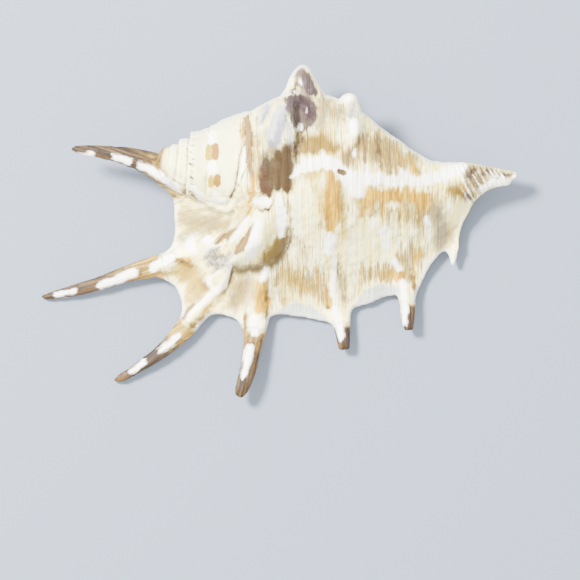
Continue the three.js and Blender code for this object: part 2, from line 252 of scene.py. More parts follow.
ribs = [
    [(-3.6, 6.5, 0.6, 2.5), (-6.4, -1.5, 2.6, 2.8), (-10.4, -6, 2.6, 2.3), (-14.8, -9.2, 1.6, 1.3)],
    [(-14.8, -9, 0.9, 0.9), (-16, -14, 1, 1), (-19, -18.5, 0.9, 1.5), (-25, -23.6, 0.7, 1.8),
     (-30, -29.5, 0.5, 1.8)],
    [(-16.6, -11, 0.4, 0.5), (-19.4, -13.4, 0.5, 0.6), (-22, -15.4, 0.2, 0.8)],
    [(-3.4, -10.8, 0.5, 1.2), (-5, -15, 0.9, 1.6), (-6.6, -23, 0.8, 2), (-7.6, -28, 0.5, 2)],
    [(16.2, -3, 0.2, 1.2), (17, -10, 0.6, 1.2), (17.6, -18, 0.8, 1.4), (18.8, -24, 0.7, 1.6)],
    [(36.4, -8.5, 0.3, 0.9), (38, -12, 0.7, 1.1), (39.8, -17, 0.8, 1.4), (40.2, -21, 0.5, 1.6)],
    [(-20, -4.6, 0.3, 2), (-27, -6.6, 0.9, 2.4), (-34, -9, 0.7, 2), (-40, -11, 0.3, 2)],
    [(-29, 11.3, 0.3, 0.9), (-33, 14, 0.8, 1), (-38, 17.6, 0.9, 1), (-43, 20.6, 0.4, 1)],
    [(-26, 13.2, 0.2, 0.7), (-29, 14.6, 0.6, 0.8), (-34, 17.4, 0.7, 0.9), (-39, 21.4, 0.3, 1)],
]
knobs = [
    [(1.8, 38, 1.8, 1.9), (1.4, 34, 3, 2.4), (0.2, 28, 2.4, 2.8), (-1, 21, 0.4, 2.8)],
    [(3.8, 33.5, 0.8, 0.8), (4.2, 29, 0.8, 0.9), (3.6, 25.5, 0.2, 1)],
    [(23.4, 33.4, 1.5, 1.8), (23.4, 30.5, 1.6, 1.7), (23.2, 27, 0.3, 1.5)],
    [(24, 25.4, 0.4, 0.7), (23.4, 23.6, 0.2, 0.7)],
    [(22.2, 41.6, 0.7, 1.8), (21.6, 38, 0.3, 1.6)],
    [(6.8, 31.6, 0.5, 1.1), (6.7, 31, 0.5, 1.1)],
    [(8.6, 38.2, 0.4, 1), (8.6, 36.8, 0.4, 1)],
    [(6.8, 47.4, 0.4, 1), (6.9, 46.4, 0.4, 1)],
    [(-21.8, -3, 0.4, 1.5), (-21.5, -4, 0.4, 1.5)],
]
hollows = [
    [(4.6, -1.5, -0.5, 1.7), (2.2, -7.6, -1.8, 1.8), (-2, -11.8, -2, 1.7), (-8, -12.6, -2.2, 1.9),
     (-14.6, -12.8, -1.6, 1.7), (-17, -18, -0.6, 1.4)],
    [(-9.5, -15, -0.5, 3), (-13, -22, -0.6, 3)],
    [(0.2, -13, -0.5, 1.4), (-1.6, -21, -0.6, 1.4)],
    [(19.4, -9, -0.3, 1.2), (20.4, -15, -0.6, 1.5), (21.6, -21, -0.4, 1.4)],
    [(6.4, 38, -1.4, 1.2), (6.4, 34, -2.2, 1.3), (6.6, 29.6, -1.6, 1.1), (5.6, 25.5, -0.7, 1)],
    [(-5.4, 36, -0.6, 1.4), (-6.6, 29, -0.9, 1.5), (-6, 22, -0.4, 1.4)],
    [(20.4, 37, -0.5, 1.1), (24.4, 36, -0.4, 0.9), (26.2, 32, -0.3, 1)],
    [(19, 18.4, -0.9, 0.7), (20.2, 17.8, -0.9, 0.6)],
    [(-8, 9.4, -0.3, 0.9), (-10.6, 4, -0.5, 1), (-13.4, 0.6, -0.5, 0.9)],
    [(-7.5, 2, -0.3, 0.6), (-10, -2.4, -0.5, 0.8), (-12.6, -5.6, -0.4, 0.7)],
    [(-23, -5.8, -0.3, 1.2), (-19, -6.4, -0.4, 1.2)],
    [(-31, 12, -0.4, 0.8), (-35.5, 16, -0.5, 0.8), (-40, 19.6, -0.2, 0.8)],
]
# The lip's edge climbs the spire along this line: a groove, and a ridge on the lip's side.
lip_climb = [(-36, 18.4), (-32, 15.6), (-28.6, 13.8), (-26.4, 11.4), (-23.4, 9.4), (-20, 8.2),
             (-16.6, 7.8), (-15, 9.6), (-13.4, 13), (-12.6, 18), (-11.6, 24), (-10.8, 30), (-10.6, 37)]
away, _, _ = along_line(lip_climb, at[:, :2])
climb = -0.8 * bell(away, 0.6)
away, _, _ = along_line([(x + 1.1, y - 1.1) for x, y in lip_climb], at[:, :2])
climb += 0.6 * bell(away, 0.9)

# Sutures part the whorls of the spire, and two rows of beads stand on their shoulders.
SPIRE_AXIS_Y, SPIRE_AXIS_Z = 20.5, 17.0
SUTURES = ((-34.6, 0.3), (-31.9, 0.6), (-28.5, 0.9), (-22.3, 0.25))
LARGE_BEADS, LARGE_BEADS_X = 26, -26.9
SMALL_BEADS, SMALL_BEADS_X = 20, -30.6
around = np.arctan2(at[:, 2] - SPIRE_AXIS_Z, at[:, 1] - SPIRE_AXIS_Y)
coiled_x = at[:, 0] - 0.6 * np.cos(around)
whorls = np.zeros(len(at))
for suture, depth in SUTURES:
    whorls -= depth * bell(coiled_x - suture, 0.45)
    whorls += 0.8 * depth * bell(coiled_x - suture - 0.9, 0.6)
large_beads = np.maximum(0, np.cos(around * LARGE_BEADS)) ** 2
whorls += 0.45 * large_beads * bell(coiled_x - LARGE_BEADS_X, 0.9)
small_beads = np.maximum(0, np.cos(around * SMALL_BEADS + 1))
whorls += 0.3 * small_beads * bell(coiled_x - SMALL_BEADS_X, 0.7)
whorls *= on_spire * (1 - free)

# Low ribs slant across the canal.
CANAL_X, CANAL_Y = 58, 16
CANAL_RIB_PITCH = 1.45
CANAL_RIB_HEIGHT = 0.28
along_canal = (at[:, 0] - CANAL_X) * 0.9 + (at[:, 1] - CANAL_Y) * 0.42
canal = CANAL_RIB_HEIGHT * np.cos(along_canal * 2 * np.pi / CANAL_RIB_PITCH)
canal = canal * rise(along_canal, -2.5, 0) * rise(-along_canal, -13, -10)

relief = raised(ribs, at[:, :2]) + raised(knobs, at[:, :2]) + raised(hollows, at[:, :2]) + canal
relief = (relief + climb) * outer * rise(to_rim, 0.2, 1.6) + whorls
relief[free > 0.5] *= 0.5
at += relief[:, None] * normal
put_at(at)

# Threads of uneven height and spacing, worn away in places, then the lumps and scars of
# growth, which fade out on the underside.
normal = outwards()
cord = 0.24 * cloudy(grain, (1.25, 30, 30)) + 0.15 * cloudy(grain, (0.7, 18, 18), 7)
cord += 0.10 * cloudy(grain, (2.6, 2.2, 2.6), 31)
cord *= outer * (1 - 0.6 * free) * (1 - 0.75 * on_spire) * rise(to_rim, 0.6, 3)
cord *= rise(-at[:, 0], -58, -50) * (0.75 + 0.6 * cloudy(at, (9, 9, 9), 3))
at += cord[:, None] * normal
put_at(at)
weighted_group("outer", outer)
for name, size, strength in (("lumps", 6, 0.7), ("scars", 1.9, 0.3)):
    clouds = bpy.data.textures.new(name, "CLOUDS")
    clouds.noise_scale = size * MM
    bumpy = shell.modifiers.new(name, "DISPLACE")
    bumpy.texture = clouds
    bumpy.strength = strength * MM
    bumpy.vertex_group = "outer"
    bpy.ops.object.modifier_apply(modifier=bumpy.name)
# How far each place stands over its surroundings, and where the streaks are faint: on the
# fan of the lip, on the spire and beside the canal.
at = places()
level_place = np.column_stack([evened(at[:, axis], 10) for axis in range(3)])
standing = np.einsum("ij,ij->i", at - level_place, outwards()) * (1 - free)
unstreaked = np.maximum(0.6 * (in_fan & (free < 0.3)), 0.9 * on_spire)
by_canal = 0.9 * rise(at[:, 0], 46, 50) * rise(-at[:, 1], -10, -7)
unstreaked = evened(np.maximum(unstreaked, by_canal), 5)

# ---------------------------------------------------------------------------------------
# Markings. Pigment is laid down at the lip as it grows, so it sits in blotches and
# streaks drawn out along the threads. Some lists also paint shade and a highlight, as
# said at each. Each list is one marking, as strokes of (x, y, half width); the surface
# keeps how deep inside a stroke each place lies.
# ---------------------------------------------------------------------------------------
marks = {}
marks["gold"] = [
    [(5.6, 24, 1.2), (8.6, 28, 2), (13.4, 28, 1.8), (18, 26.6, 1)],
    [(8, 17.4, 1.6), (12, 18.4, 1.9), (15.6, 17, 1.4)],
    [(13, 13.6, 1.2), (13.2, 6, 0.9), (13.4, 0, 0.6)],
    [(24.2, 8.6, 1.3), (26, 6, 1.3), (24.4, 2, 0.7)],
    [(28, 11.6, 1.8), (34, 11.4, 1.6), (42, 11.6, 1.8), (46, 11, 1.4)],
    [(-12.4, 4.6, 0.9), (-9.4, 9.6, 0.9), (-8.4, 13, 0.9)],
    [(21, -2, 0.7), (19.8, 4, 0.8), (20, 10, 0.6)],
    [(-31, -12, 2), (-27, -14, 3), (-24.6, -18, 2.6), (-28, -21, 1.6)],
    [(33, -13.6, 2), (37, -13, 2.2), (40, -14, 1.4)],
    [(4, -14, 2), (7, -17, 2.4), (11, -18.4, 2)],
    [(-6, -15, 1.4), (-7.4, -20, 1.6), (-5, -24, 1.6)],
    [(24.6, 27, 1), (23, 24, 1.6), (21, 22, 0.8)],
    [(39, 22, 2), (43, 20.4, 1.6)],
]
# Streaks crowd together in the tan parts, and thin out in the pale ones further down.
marks["tan"] = [
    [(2, -12, 3), (6, -15, 3.4), (12, -16, 3), (15, -20, 1.6)],
    [(27, -13, 2), (32, -13, 3.4), (38, -9, 3), (43, -8, 3)],
    [(30, 9, 2), (36, 8, 3), (44, 6, 3.4), (48, 10, 2)],
    [(27, 26, 3.6), (33, 24, 4.4), (40, 21, 3)],
    [(-29, -13, 3), (-25, -17, 3), (-29, -24, 2)],
    [(-7, -15, 3), (-10, -21, 4), (-4, -22, 3)],
    [(-28, 4, 4), (-20, 3, 4), (-15, 0, 3)],
    [(-6, 29, 1.4), (-6, 20, 1.2), (-8, 14, 1.4)],
    [(20, 24, 1.6), (24, 23, 2)],
    [(54, 12, 2.4), (58, 14, 2.4), (64, 18, 2.4)],
    [(4, 8, 1.2), (5, 0, 1.6)],
    [(20, 6, 1), (22, 4, 1.4)],
    [(10, 29, 2), (16, 29, 2)],
    [(-14, -14, 2), (-12, -20, 3)],
]
marks["grey"] = [
    [(50, 6, 1.8), (51, 0, 2.4), (51, -4, 1.8)],
    [(27.4, 28, 0.8), (27, 22, 0.6)],
    [(30.4, 29, 1), (31.4, 20, 0.7)],
    [(33.6, 27, 0.6), (34, 18, 0.5)],
    [(37, 23, 0.5), (37.4, 18, 0.4)],
    [(-28, 2.4, 1.6), (-24, 3.4, 2), (-20, 3, 1.6)],
    [(-30, -1.4, 1.6), (-27, 0, 1.6)],
    [(19.6, -12, 0.6), (20.6, -20, 1.2)],
    [(-10, -16, 1.8), (-13.4, -21, 2)],
    [(0.6, 10.6, 0.9), (1.6, 7.6, 0.6)],
    [(-29.4, 14.4, 0.8), (-27, 14, 1.2)],
    [(13, 33, 1), (14, 40, 1.4)],
    [(18.4, 31, 1), (19, 38, 1)],
    [(-20.6, -17, 0.7), (-24, -21, 0.6)],
    [(44.6, 2, 1), (44, -3, 1)],
    [(-24, 31, 1.6), (-24.6, 20, 1.2)],
]
marks["lilac"] = [
    [(1.6, 38, 1.6), (0.6, 34, 2.4), (-1, 29.6, 2.9), (-1.8, 26.4, 2)],
    [(3.2, 33, 0.9), (3.9, 29, 1), (3.4, 26, 0.7)],
    [(22.8, 39.4, 0.7), (22.4, 36, 1.2)],
    [(21.6, 33.4, 0.6), (21.4, 31, 0.5)],
    [(-3.4, 39, 1.4), (-5, 34, 1)],
]
marks["orange"] = [
    [(16.4, 17, 1.6), (16.5, 10, 2.9), (16.4, 4, 2.7), (16.3, 1, 1.6)],
    [(26.6, 10.8, 1.2), (31, 11, 2), (36, 11.2, 2), (41, 11.2, 2.1), (46, 10.8, 1.8)],
    [(26.4, 10, 1), (25.8, 4.6, 0.7)],
    [(29, 10, 1.1), (28.8, 4.4, 0.6)],
    [(32.6, 9.4, 0.7), (32.4, 5.6, 0.3)],
    [(42, 9.6, 1.4), (46, 8.4, 1.2)],
    [(-8.2, 16, 0.8), (-8, 12, 1)],
    [(-11.6, 33, 0.4), (-11.2, 29.4, 0.7)],
    [(-7.4, 16, 0.8), (-8.4, 11, 0.9), (-8.4, 7.6, 0.9), (-9.6, 4.8, 0.6), (-12.6, 2.2, 0.3)],
    [(38, -14.4, 1.8), (35.4, -12.4, 0.9)],
    [(15.2, -17, 0.5), (15.6, -22.4, 1)],
    [(-4.8, -16, 1.4), (-5.2, -20, 1.8), (-6, -23.6, 1.6), (-3.6, -23.4, 1.2)],
    [(-32, -8, 0.7), (-29, -8.8, 1.2), (-27.6, -10, 0.8)],
    [(-44, -10.6, 0.9), (-41.4, -10, 0.6)],
    [(42.3, 21, 0.7), (42.6, 18.6, 0.9)],
    [(45, -6.6, 0.9), (43, -8.6, 0.7)],
    [(-24, -25.4, 0.4), (-21, -22.8, 0.5)],
    [(57.6, 14.4, 0.6), (58, 13, 0.6)],
    [(12, -10, 0.4), (12.4, -16, 0.5)],
    [(8.6, -6, 0.3), (8.6, -12, 0.4)],
]
marks["honey"] = [[(-21.3, 25.8, 1.15), (-21.3, 23, 1.2)], [(-20.9, 16.2, 1), (-20.8, 14.6, 1.1)]]
marks["amber"] = [[(-19.6, 26.4, 1.1), (-19.5, 23, 1.15)], [(-19, 16.8, 1.05), (-18.9, 14.8, 1.1)]]
marks["beige"] = [
    [(-30, 5, 2.4), (-24, 3, 3.4), (-17, 2, 2.6)],
    [(-31, -11, 2), (-26, -15, 3), (-25, -20, 2.4)],
    [(-12, -14, 2), (-12, -20, 3.2), (-15, -24, 2)],
    [(0, -16, 1), (1, -21, 1.4)],
    [(26, 27, 3), (33, 24, 4), (41, 21, 3)],
    [(13, 32, 2), (14.6, 38, 2.8), (19, 36, 1.8)],
    [(49, 7, 3), (52, 0, 3.4), (51, -5, 2)],
    [(44, 5, 1.6), (47, 7, 2)],
    [(32, -13, 1), (38, -10, 1.4)],
    [(55, 13, 2.4), (60, 13, 2.4), (65, 17, 2)],
]
# Soft brown: painted shade along the hump's lower edge, down its right flank and in the valley below
# it, and the shell's own brown beside the knobs and in the canal.
marks["painted_shade_and_brown"] = [
    [(-15.4, -10.6, 0.7), (-12, -11.8, 1.1), (-7, -11.6, 1.5), (-3, -10.6, 1.5), (0.4, -7.6, 1.3),
     (1.4, -4, 1.5), (2.6, 0.6, 0.6)],
    [(2.8, 0.4, 0.2), (2.2, -2.6, 0.7), (0.8, -6, 1), (-2.6, -9.2, 0.9)],
    [(-14.6, -12.6, 0.8), (-15.8, -17, 0.8), (-19, -20.6, 0.5)],
    [(6.8, 34, 0.4), (6.2, 29.6, 0.7), (5.2, 26, 0.7), (4.8, 21, 0.5)],
    [(-6.6, 35, 0.4), (-6.6, 27, 0.6)],
    [(25.4, 28.6, 0.8), (23, 25.4, 1.3), (20.6, 21.6, 1)],
    [(-4.4, 22.8, 1.2), (-0.6, 24.6, 1.8), (3.2, 26, 1.7)],
    [(19.6, 13, 0.2), (19.6, 6, 0.3)],
    [(5.8, 48.8, 0.9), (7.2, 50.2, 0.9)],
    [(-33, -8.6, 0.4), (-30, -9.8, 0.8), (-27.4, -10.6, 0.5)],
    [(58.6, 11.8, 0.6), (60.6, 10.6, 0.8)],
    [(58.6, 20.4, 1.6), (60.4, 17.6, 2.4), (63, 15, 1.7), (65.6, 14.6, 1)],
    [(64, 19.8, 1.4), (67, 18.2, 1.6), (71, 17.6, 1.2), (74, 17.6, 0.7)],
    [(26.6, 28, 0.4), (26.8, 22, 0.4)],
    [(30.4, 29, 0.5), (31, 20, 0.4)],
    [(34, 25, 0.3), (34.4, 18.4, 0.3)],
]
marks["ochre_and_flank_shade"] = [
    [(18.9, 14.6, 0.7), (19, 9, 1), (18.8, 3, 0.9)],
    [(6, 23.6, 1.3), (8.8, 26.2, 2.7), (13, 26.8, 2.8), (17.5, 25.2, 1.7)],
    # The hump's lower right flank: the shell's own brown and painted shade together.
    [(2, 1, 0.8), (1, -2.6, 2), (-0.8, -6, 2.5), (-3.6, -8.8, 1.9)],
    [(-7.2, 21, 0.4), (-7, 15, 0.5)],
    [(28, 9, 0.7), (30, 6, 0.4)],
    [(-22.4, -25.4, 0.8), (-27, -29.6, 1.1), (-30.4, -33.4, 0.8)],
    [(-26.6, -22.6, 0.5), (-31, -28.2, 0.9)],
    [(-23.6, -16.2, 0.9), (-22.6, -17.8, 0.8)],
    [(-3.6, -24, 0.9), (-3.6, -30, 0.8)],
    [(-10, -26, 0.7), (-10.6, -31, 0.6)],
    [(-33, -6, 0.5), (-38, -7.6, 0.6)],
    [(-33, -12.4, 0.8), (-40, -14.4, 0.7)],
    [(15.4, -18, 0.8), (15.6, -23.6, 1.2)],
    [(41.4, -11.6, 0.8), (42.4, -17, 1)],
    [(52.8, 13.2, 0.8), (56, 12.8, 1.3), (60, 11, 1.2)],
]
marks["bay"] = [
    [(-7.8, 1.8, 0.5), (-9.8, -1.8, 1.2), (-11.6, -4.6, 1.6), (-13, -6.8, 1)],
    [(-13.4, 0.6, 0.5), (-16, -1.2, 1.1), (-18.8, -3, 1.2)],
    [(-9.6, 35, 1.1), (-9.2, 28, 1.4), (-8.9, 22, 1.2), (-8.3, 16, 0.8)],
    [(-22.4, -25.4, 0.3), (-27, -29.6, 0.6), (-30.4, -33.4, 0.6)],
    [(-26.8, -22.8, 0.3), (-31.4, -28.4, 0.7)],
    [(-32.4, -8.8, 0.3), (-29.4, -9.6, 0.5), (-27.2, -10.4, 0.3)],
    [(-3.8, -18, 0.3), (-3.4, -24, 0.5), (-3.8, -30, 0.6)],
    [(-10.4, -26, 0.4), (-10.8, -31, 0.5)],
    [(15, -20, 0.3), (15.6, -24, 0.7)],
    [(42.6, -14, 0.5), (43.2, -18, 0.7)],
    [(-4.8, 12.8, 0.4), (-7, 7.6, 0.2)],
]
marks["mauve"] = [
    [(6.6, 49.8, 1.9), (7.6, 46.4, 2.7), (9.2, 43.4, 2.2)],
    [(4.4, 43.4, 0.9), (7, 42, 1.6)],
    [(4, 40.4, 1.6), (8, 39, 2.4), (9.6, 36, 2)],
]
# Pale lip edges on the flanges between digits four, five and six, and a painted highlight down the
# dorsal knob.
marks["pale_edge_and_highlight"] = [
    [(0.6, -25, 1), (5, -24.4, 2.4), (10, -25.6, 2.2), (14.6, -27.8, 1)],
    [(24, -24, 1), (28.4, -20.8, 2.3), (32.4, -18.8, 2.6), (37, -18.6, 1.6)],
    [(-1, 36, 0.6), (-1.8, 32.4, 1.2), (-2.4, 28.6, 0.8)],
]
# Brown specks sit among the large beads of the spire, and the pit in the back is brown.
marks["specks"] = [[(-27.6, y, 0.2), (-26.3, y - 0.6, 0.2)] for y in range(15, 33, 2)]
marks["specks"] += [[(18.9, 18.4, 0.9), (20.4, 17.9, 0.8)]]
marks["pale"] = [
    [(22, 2, 3), (28, -1, 3), (26, -6, 3)],
    [(8, 10, 3), (8, 2, 3)],
    [(30, -6, 2), (34, -7, 1.6)],
    [(-18.5, 31, 2), (-15.4, 25, 2.4), (-15.2, 19, 2.4), (-16.5, 13, 2)],
    [(20, -6, 1.6), (26, -6, 2.6), (30.6, -8, 1.6)],
    [(2, -25, 1.6), (6, -23.6, 2.6), (11, -25.4, 2), (15, -27.6, 0.8)],
    [(24, -23.4, 0.8), (28.4, -20.2, 1.8), (32.4, -18.6, 2), (36.6, -18.4, 1.1)],
    [(8, 11, 1.2), (9, 5, 1.4), (10, -2, 1.2)],
    [(22, 0, 1.4), (25, -1, 1.6)],
    [(35, 8.6, 0.4), (38, 10.6, 0.5), (41, 10.8, 0.3)],
    [(40, 2, 0.6), (40.6, -1, 0.5)],
    [(-11, 8, 1.5), (-12.6, 6, 1.4), (-15, 5, 1)],
    [(52, 20, 1.6), (57, 19, 2)],
    [(-33.4, 8, 0.6), (-33.6, 0, 0.7)],
]
marks["umber"] = [
    [(-3.8, 21.2, 1.8), (-3.6, 17, 2.8), (-3.4, 13.4, 2.6)],
    [(-1.8, 21.4, 1.6), (-1.8, 16, 2)],
    [(0, 23.6, 1.8), (0, 18, 2.4), (0, 14, 2)],
    [(2.6, 24.4, 2), (2.7, 18, 2.6), (2.4, 14, 2.4)],
    [(5.4, 21, 0.6), (5.6, 25, 0.8), (7.6, 28.4, 0.8), (9, 30.2, 0.4)],
    [(-32, -8.2, 0.4), (-30.4, -9, 0.4)],
    [(8, 50, 0.3), (8.2, 47.6, 0.3)],
    [(-3.7, -18, 0.2), (-4, -22, 0.3)],
    [(59.6, 17.6, 1.3), (61.4, 19.6, 1.1)],
    [(63.4, 17.4, 0.8), (65.4, 19.2, 0.8), (67.4, 18.8, 0.6)],
    [(69, 17.4, 0.7), (73.2, 18, 0.5)],
    [(43.2, 19.4, 0.3), (45, 16.6, 0.3)],
    [(30.6, 28.4, 0.4), (31, 24, 0.4)],
]
marks["russet"] = [
    [(-4.8, 19.4, 0.6), (-4.6, 14, 1.3), (-3.2, 11.8, 1.3), (-2.6, 10.6, 0.7)],
    [(-7, 7.4, 0.3), (-5.2, 6, 0.6), (-3, 6.8, 0.6), (-1.6, 7.9, 0.45), (-1.4, 10.4, 0.3)],
    [(2.6, 13.4, 0.8), (3, 12, 0.5)],
    [(11, 43.6, 0.5), (11.6, 42.6, 0.5)],
]
marks["purple"] = [
    [(8.6, 48.6, 1.4), (9.6, 45.4, 1.9), (10.6, 43.2, 1.4)],
    [(2.6, 40.6, 1), (5.4, 40.6, 2), (8.4, 40.6, 1.6), (10.6, 38.4, 1.5), (11, 36, 1.2),
     (10, 33.4, 1.2), (8.6, 31, 0.6)],
    [(4.4, 38.4, 2.2), (5.8, 35.4, 2.8), (6.4, 33, 2), (9, 34.4, 1.8), (7.2, 30.6, 1)],
    [(7.4, 38.4, 1.8), (8.6, 36.4, 1.6)],
    [(5.4, 45.4, 0.7), (4.2, 43, 0.7)],
]
marks["white"] = [
    [(-20.6, 30, 1.4), (-20.6, 28.6, 1.3)],
    [(-20.6, 20.6, 1.3), (-20.4, 18.8, 1.2)],
    [(-19.5, 11, 0.9), (-16.8, 9.6, 1)],
    [(-27, 14, 0.6), (-25.4, 12.2, 0.9), (-23.4, 11.2, 0.7)],
    [(-21.4, 9.8, 0.6), (-19.6, 9, 0.8), (-15.6, 9.8, 0.6)],
    [(-10.5, 25.5, 0.4), (-11, 22, 0.6), (-11.3, 18.4, 0.55), (-12.4, 15, 0.3)],
    [(-6.6, 9.4, 1), (-4.8, 9.2, 1.4), (-2.8, 9, 1)],
    [(-9.6, 3.8, 0.8), (-12, 0.4, 1), (-14.6, -2.8, 0.6)],
    [(-6.2, 3, 0.9), (-7.2, -1, 1.4), (-7.8, -5, 1.8), (-8.8, -7.4, 1.1)],
    [(-22, -2.6, 1.5), (-21.6, -4.4, 1.4)],
    [(-27.2, -3.4, 1.6), (-26.6, -6.2, 1.1)],
    [(-40, -11.4, 1), (-37, -9.6, 1.6), (-33.4, -7.8, 1.1)],
    [(0.2, 11, 0.6), (0.9, 5, 1.7), (0.9, -0.8, 1)],
    [(-3.8, -11.8, 0.9), (-4.8, -14.6, 1)],
    [(-14.9, -9.2, 0.4), (-16, -14, 0.5), (-17.2, -17, 0.8), (-21.6, -20.2, 1), (-25, -23.4, 0.7),
     (-28.6, -26.6, 0.4)],
    [(-16.6, -11, 0.3), (-19.4, -13.2, 0.5)],
    [(-21.9, -15.2, 0.5), (-20.6, -18.4, 0.6)],
    [(-7.4, -27, 1.5), (-7.6, -31.2, 1.5)],
    [(-9.2, -36.6, 1.3), (-10, -41, 1.2), (-11.2, -45.4, 0.6)],
    [(-31.6, -32.4, 0.8), (-34, -34.8, 1), (-37.2, -37.4, 0.7)],
    [(-42.4, -40.9, 0.8), (-46.2, -43.8, 0.7)],
    [(-45.6, -12.6, 1.1), (-50, -14.6, 1.4), (-56.4, -16.9, 0.9)],
    [(-64.2, -18.6, 0.6), (-70, -19.8, 0.8)],
    [(-43, 20.8, 1), (-38.4, 18.4, 1.2), (-34.4, 15.6, 1.2), (-31, 13, 0.8)],
    [(-51.4, 23.4, 0.8), (-47, 21.9, 1)],
    [(-62.6, 23.9, 0.6), (-58.4, 24.1, 0.8)],
    [(17.6, -8, 0.5), (17.3, -13, 0.5), (16.6, -17, 0.9), (16.8, -19.4, 0.7)],
    [(17.6, -24, 1), (19.2, -29, 1.2), (19.8, -33, 1)],
    [(39.2, -16, 0.8), (39.4, -19.4, 1), (39.8, -23, 1.1), (39.4, -28.6, 0.7)],
    [(15.9, -1.8, 1.5), (15.6, -6, 1.4)],
    [(33, 0.6, 1.5), (33.6, -3.6, 1.6)],
    [(36.4, -9.4, 0.8), (38, -11.8, 0.8)],
    [(46.1, 4, 1.1), (47, 2.4, 0.8)],
    [(4.4, 16.6, 0.6), (6.6, 18.8, 1.2), (9.6, 20.4, 1.9), (13.6, 21.2, 2.1), (17, 20.4, 1.6),
     (20.2, 18, 1.6), (22.8, 15, 2.4), (24.6, 12, 1.9)],
    [(22, 17, 1.6), (28, 16.2, 1.7), (36, 15.8, 1.6), (44, 15.8, 1.5), (49, 16.6, 1.6), (53, 18.6, 2),
     (57.6, 20.4, 1.4)],
    [(27, 20, 0.4), (27.4, 17, 0.9)],
    [(38, 19.6, 0.5), (38.6, 17, 0.8)],
    [(6.9, 32.2, 0.3), (6.8, 31, 0.5)],
    [(8.6, 38.2, 0.05), (8.8, 37, 0.1)],
    [(6.6, 47.4, 0.1), (7, 46, 0.35)],
    [(5, 43.4, 0.3), (6.6, 43, 0.2)],
    [(20.8, 41.6, 1.2), (23.6, 42, 1)],
    [(23.4, 33, 1.5), (23.5, 31, 1.4)],
    [(23.6, 25.6, 0.4), (23.6, 23.6, 0.4)],
    [(64, 13.6, 1.1), (67, 15.6, 0.9), (72.6, 15.2, 0.9), (74.6, 18.2, 0.5)],
    [(53, 9.8, 0.3), (54, 7.2, 0.3)],
    [(45.6, -15, 0.9), (47.6, -10.6, 0.9), (50.4, -7.6, 0.8), (53.4, -6.4, 0.5), (54.4, -10, 0.6)],
]
# White ribs slant across the canal, brown between them.
marks["canal"] = [
    [(x, y, 0.02), (x + 1.6, y - 2.4, 0.14), (x + 3.4, y - 5.2, 0.3)]
    for x, y in ((56.6, 14.4), (57.9, 15.4), (59.2, 16.6), (60.6, 18), (62, 19.6), (63.4, 21), (65, 21),
                 (66.8, 20.4), (68.6, 19.8))
]
# A patch of the back is worn through to a grey speckle.
marks["worn"] = [[(-20.6, -8, 2.6), (-17.6, -8.6, 2.7), (-18.6, -11.4, 1.8)]]
# Dark lines of painted shade lie in the sutures and the deepest grooves.
marks["line"] = [
    [(2.2, 35.6, 0.16), (2.4, 31, 0.14), (1.9, 28, 0.2), (2.2, 25, 0.14)],
    [(3.7, 34.4, 0.16), (4.9, 31.4, 0.18), (5.8, 29.8, 0.22), (4.9, 27.4, 0.26), (5.4, 24, 0.26)],
    [(8.1, 50, 0.18), (8.5, 47.6, 0.2)],
    [(-10.2, 31, 0.16), (-10.5, 27, 0.2), (-12, 24, 0.26), (-12.4, 20, 0.34), (-12.9, 16, 0.3),
     (-13.6, 13, 0.3), (-15.3, 10, 0.26)],
    [(-9.6, 24, 0.12), (-10.2, 19, 0.2), (-12.4, 14, 0.16)],
    [(4.6, 1, 0.16), (3.6, -3.6, 0.24), (2.4, -6.4, 0.24)],
    [(2.9, 12, 0.2), (3, 8, 0.14)],
    [(18, -4.6, 0.16), (18.7, -8, 0.16), (18.4, -14, 0.16)],
    [(-28.4, 26, 0.26), (-28.4, 22, 0.26)],
    [(-33, 12.8, 0.18), (-30.4, 11.4, 0.18)],
    [(-27.8, 12.4, 0.3), (-25, 10, 0.26)],
    [(-14.2, -10.6, 0.2), (-15, -14, 0.26), (-16, -18, 0.2)],
]
# The depth kept for a place that is well outside every stroke.
FAR_OUTSIDE = -4.0
# A stroke's outline wanders, and its ends are dragged out thread by thread: fully, or by
# the share given here.
DRAGGED = {"line": 0.15, "canal": 0.1, "white": 0.3, "lilac": 0.4, "purple": 0.4, "russet": 0.4,
           "honey": 0.1, "amber": 0.1, "specks": 0.1, "painted_shade_and_brown": 0.6, "umber": 0.2,
           "pale_edge_and_highlight": 0.2, "mauve": 0.3, "ochre_and_flank_shade": 0.4, "orange": 0.6, "bay": 0.5}
wander = np.column_stack([cloudy(at, 2.4, seed) for seed in (11, 23)])
wander += 0.5 * np.column_stack([cloudy(at, 1.1, seed) for seed in (37, 41)])
drawn_out = 2.6 * cloudy(grain, (1.1, 16, 16), 53) + 1.3 * cloudy(grain, (0.55, 9, 9), 61)
calm = 1 - 0.7 * rise(at[:, 0], 50, 58)


def kept_on_skin(name, values):
    """Stores one value for each point of the skin, for its finish to read."""
    layer = shell.data.attributes.new(name, "FLOAT", "POINT")
    layer.data.foreach_set("value", values.astype(np.float32))


for marking, strokes in marks.items():
    share = DRAGGED.get(marking, 1.0) * calm
    xy = at[:, :2] + 0.8 * share[:, None] * wander + (share * drawn_out)[:, None] * lengthwise
    depth = np.full(len(at), FAR_OUTSIDE)
    for stroke in strokes:
        away, _, values = along_line(stroke, xy)
        depth = np.maximum(depth, values[:, 0] - away)
    kept_on_skin(marking, np.where(outer > 0.3, depth, FAR_OUTSIDE))
# The canal has no glazed rim, so it counts as further in.
kept_on_skin("rim", to_rim + 3 * rise(at[:, 0], 55, 59))
kept_on_skin("free", free)
kept_on_skin("tipward", tipward)
kept_on_skin("under", under)
kept_on_skin("spire", on_spire)
kept_on_skin("standing", standing)
kept_on_skin("unstreaked", unstreaked)
grain_layer = shell.data.attributes.new("grain", "FLOAT_VECTOR", "POINT")
grain_layer.data.foreach_set("vector", grain.astype(np.float32).ravel())
